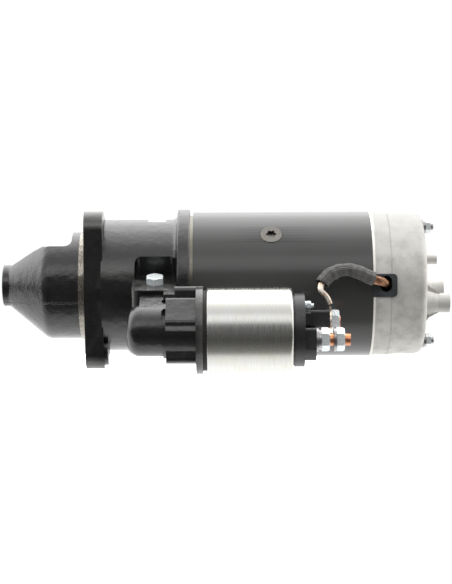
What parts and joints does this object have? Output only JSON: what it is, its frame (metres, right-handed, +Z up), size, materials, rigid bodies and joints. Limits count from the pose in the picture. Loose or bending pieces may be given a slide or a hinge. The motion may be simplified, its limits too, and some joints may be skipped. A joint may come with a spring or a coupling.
{
  "type": "starter motor",
  "caption": "Pre-engaged starter motor with a flanged black nose, a black motor tube, an aluminium end cover and a zinc solenoid alongside.",
  "frame": {"origin": "centre of the pilot at the front face of the mounting flange", "axes": "-X along the shaft towards the pinion and nose, +Z up, the solenoid towards -Y"},
  "size_m": [0.366, 0.1945, 0.1327],
  "materials": {
    "housing_black": "satin",
    "body_black": "satin",
    "cover_aluminium": "as cast",
    "zinc": "zinc plated",
    "steel": "machined",
    "iron": "plain",
    "bronze": "sintered",
    "copper": "bare copper",
    "tinned": "tinned copper",
    "phenolic": "moulded",
    "gasket_rubber": "matte",
    "grommet_rubber": "matte",
    "sleeve_weave": "woven, varnished",
    "carbon": "graphite"
  },
  "bodies": {
    "starter": {"drive_end_housing": "housing_black", "nose_bush": "bronze", "intermediate_plate": "iron", "intermediate_bush": "bronze", "motor_body": "body_black", "pole_shoes": "iron", "pole_screws": "steel", "field_coils": "copper", "end_cover": "cover_aluminium", "rear_bush": "bronze", "grommet": "grommet_rubber", "brush_plate": "steel", "brush_holders": "steel", "brushes": "carbon", "brush_springs": "steel", "through_studs": "steel", "stud_washers": "steel", "stud_nuts": "zinc", "pivot_bolt": "zinc", "solenoid_can": "zinc", "solenoid_gasket": "gasket_rubber", "seat_screws": "zinc", "coil_tube": "bronze", "solenoid_coil": "copper", "solenoid_core": "iron", "return_spring": "steel", "solenoid_cap": "phenolic", "battery_stud": "copper", "motor_stud": "copper", "terminal_nuts": "zinc", "terminal_washers": "steel", "trigger_terminal": "zinc", "cable_lug": "tinned", "cable_conductor": "copper", "cable_sleeve": "sleeve_weave"},
    "armature": {"armature_shaft": "steel", "armature_core": "iron", "armature_windings": "copper", "commutator": "copper", "thrust_washer": "steel", "stop_ring": "steel"},
    "clutch": {"clutch_shell": "steel", "clutch_rollers": "steel", "drive_sleeve": "steel", "meshing_spring": "steel"},
    "pinion": {"pinion": "steel"},
    "collar": {"shift_collar": "steel"},
    "lever": {"fork_lever": "iron"},
    "plunger": {"plunger": "zinc", "plunger_rod": "steel", "spring_seat": "steel"},
    "contact": {"contact_bridge": "copper"}
  },
  "joints": [
    {"name": "plunger_slide", "type": "slide", "parent": "starter", "child": "plunger", "axis": [1, 0, 0], "range_m": [0, 0.012], "stiffness_N_per_m": 2500, "springref_m": -0.012, "deforming": ["return_spring"]},
    {"name": "armature_spin", "type": "hinge", "parent": "starter", "child": "armature", "pos_m": [0, 0, 0], "axis": [1, 0, 0], "continuous": true},
    {"name": "lever_swing", "type": "hinge", "parent": "starter", "child": "lever", "pos_m": [0.0577, -0.04996, -0.02049], "axis": [0, -0.3795, 0.9252], "range_deg": [0, 16.44]},
    {"name": "collar_slide", "type": "slide", "parent": "starter", "child": "collar", "axis": [-1, 0, 0], "range_m": [0, 0.01544]},
    {"name": "clutch_slide", "type": "slide", "parent": "armature", "child": "clutch", "axis": [-1, 0, 0], "range_m": [0, 0.01544]},
    {"name": "pinion_overrun", "type": "hinge", "parent": "clutch", "child": "pinion", "pos_m": [0, 0, 0], "axis": [1, 0, 0], "continuous": true},
    {"name": "contact_slide", "type": "slide", "parent": "starter", "child": "contact", "axis": [1, 0, 0], "range_m": [0, 0.00201]}
  ],
  "couplings": [
    {"joint": "lever_swing", "follows": "plunger_slide", "rad_per_m": 23.891},
    {"joint": "collar_slide", "follows": "plunger_slide", "ratio": 1.2857},
    {"joint": "clutch_slide", "follows": "plunger_slide", "ratio": 1.2857},
    {"joint": "contact_slide", "follows": "plunger_slide", "ratio": 0.16667}
  ]
}
